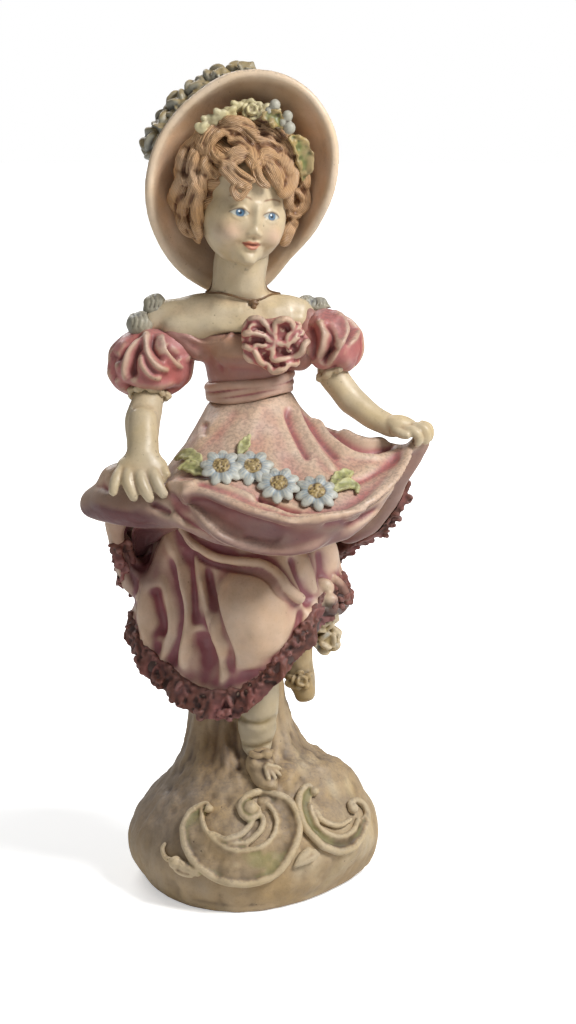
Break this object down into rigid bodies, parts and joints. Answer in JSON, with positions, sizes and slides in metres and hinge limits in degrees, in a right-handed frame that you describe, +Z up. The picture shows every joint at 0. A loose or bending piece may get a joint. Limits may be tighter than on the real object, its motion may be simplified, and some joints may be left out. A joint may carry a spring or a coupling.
{
  "type": "resin figurine",
  "caption": "Painted resin figurine of a girl in a poke bonnet who holds up her flowered overskirt, standing on a scrolled rocky mound.",
  "frame": {"origin": "middle of the figurine's footprint, on the surface that it stands on", "axes": "+Z up, -Y towards the viewer, +X to the viewer's right"},
  "size_m": [0.1062, 0.0834, 0.2478],
  "materials": {
    "resin": "matt hand-painted resin, tan with grey-brown shading",
    "skin": "satin hand-painted resin, ivory with fine dark specks",
    "rose": "satin hand-painted resin, dusty pink",
    "lace": "matt hand-painted resin, mauve pink with dark antiquing",
    "petal": "matt hand-painted resin, pale blue-white",
    "blush": "satin hand-painted resin, ivory washed with dusty pink",
    "leaf": "matt hand-painted resin, yellow-green",
    "moss": "matt hand-painted resin, grey-green",
    "hair": "satin hand-painted resin, light orange-brown",
    "straw": "matt hand-painted resin, taupe with a cream rim"
  },
  "bodies": {
    "root": {"base_mound": "resin", "large_scroll": "resin", "small_scroll": "resin", "front_leg": "skin", "front_shoe": "resin", "rear_leg": "skin", "petticoat": "rose", "petticoat_lace": "lace", "hem_roses": "petal", "right_hand": "skin", "left_hand": "skin", "overskirt": "blush", "hem_roll": "blush", "right_bundle": "rose", "right_side_fall": "rose", "left_bundle": "rose", "upper_swag": "rose", "lower_swag": "rose", "sash_tail": "rose", "overskirt_lace": "lace", "daisy_1": "petal", "daisy_2": "petal", "daisy_3": "petal", "daisy_4": "petal", "apron_leaf_right": "leaf", "apron_leaf_top": "leaf", "apron_leaf_left": "leaf", "sash": "rose", "bodice": "blush", "shoulders": "skin", "neck": "skin", "head": "skin", "necklace": "moss", "bust_ruffle": "rose", "right_arm": "skin", "left_arm": "skin", "right_cuff": "skin", "left_cuff": "skin", "right_sleeve": "rose", "left_sleeve": "rose", "right_shoulder_roses": "moss", "left_shoulder_roses": "moss", "hair": "hair", "forehead_curls": "hair", "side_curls_right": "hair", "side_curls_left": "hair", "bonnet_brim": "straw", "bonnet_crown": "straw", "bonnet_rose_1": "moss", "bonnet_rose_2": "moss", "bonnet_rose_3": "moss", "bonnet_rose_4": "moss", "bonnet_rose_5": "moss", "bonnet_rose_6": "moss", "hair_garland": "leaf", "bonnet_leaf": "leaf", "bonnet_buds": "petal"}
  },
  "joints": []
}
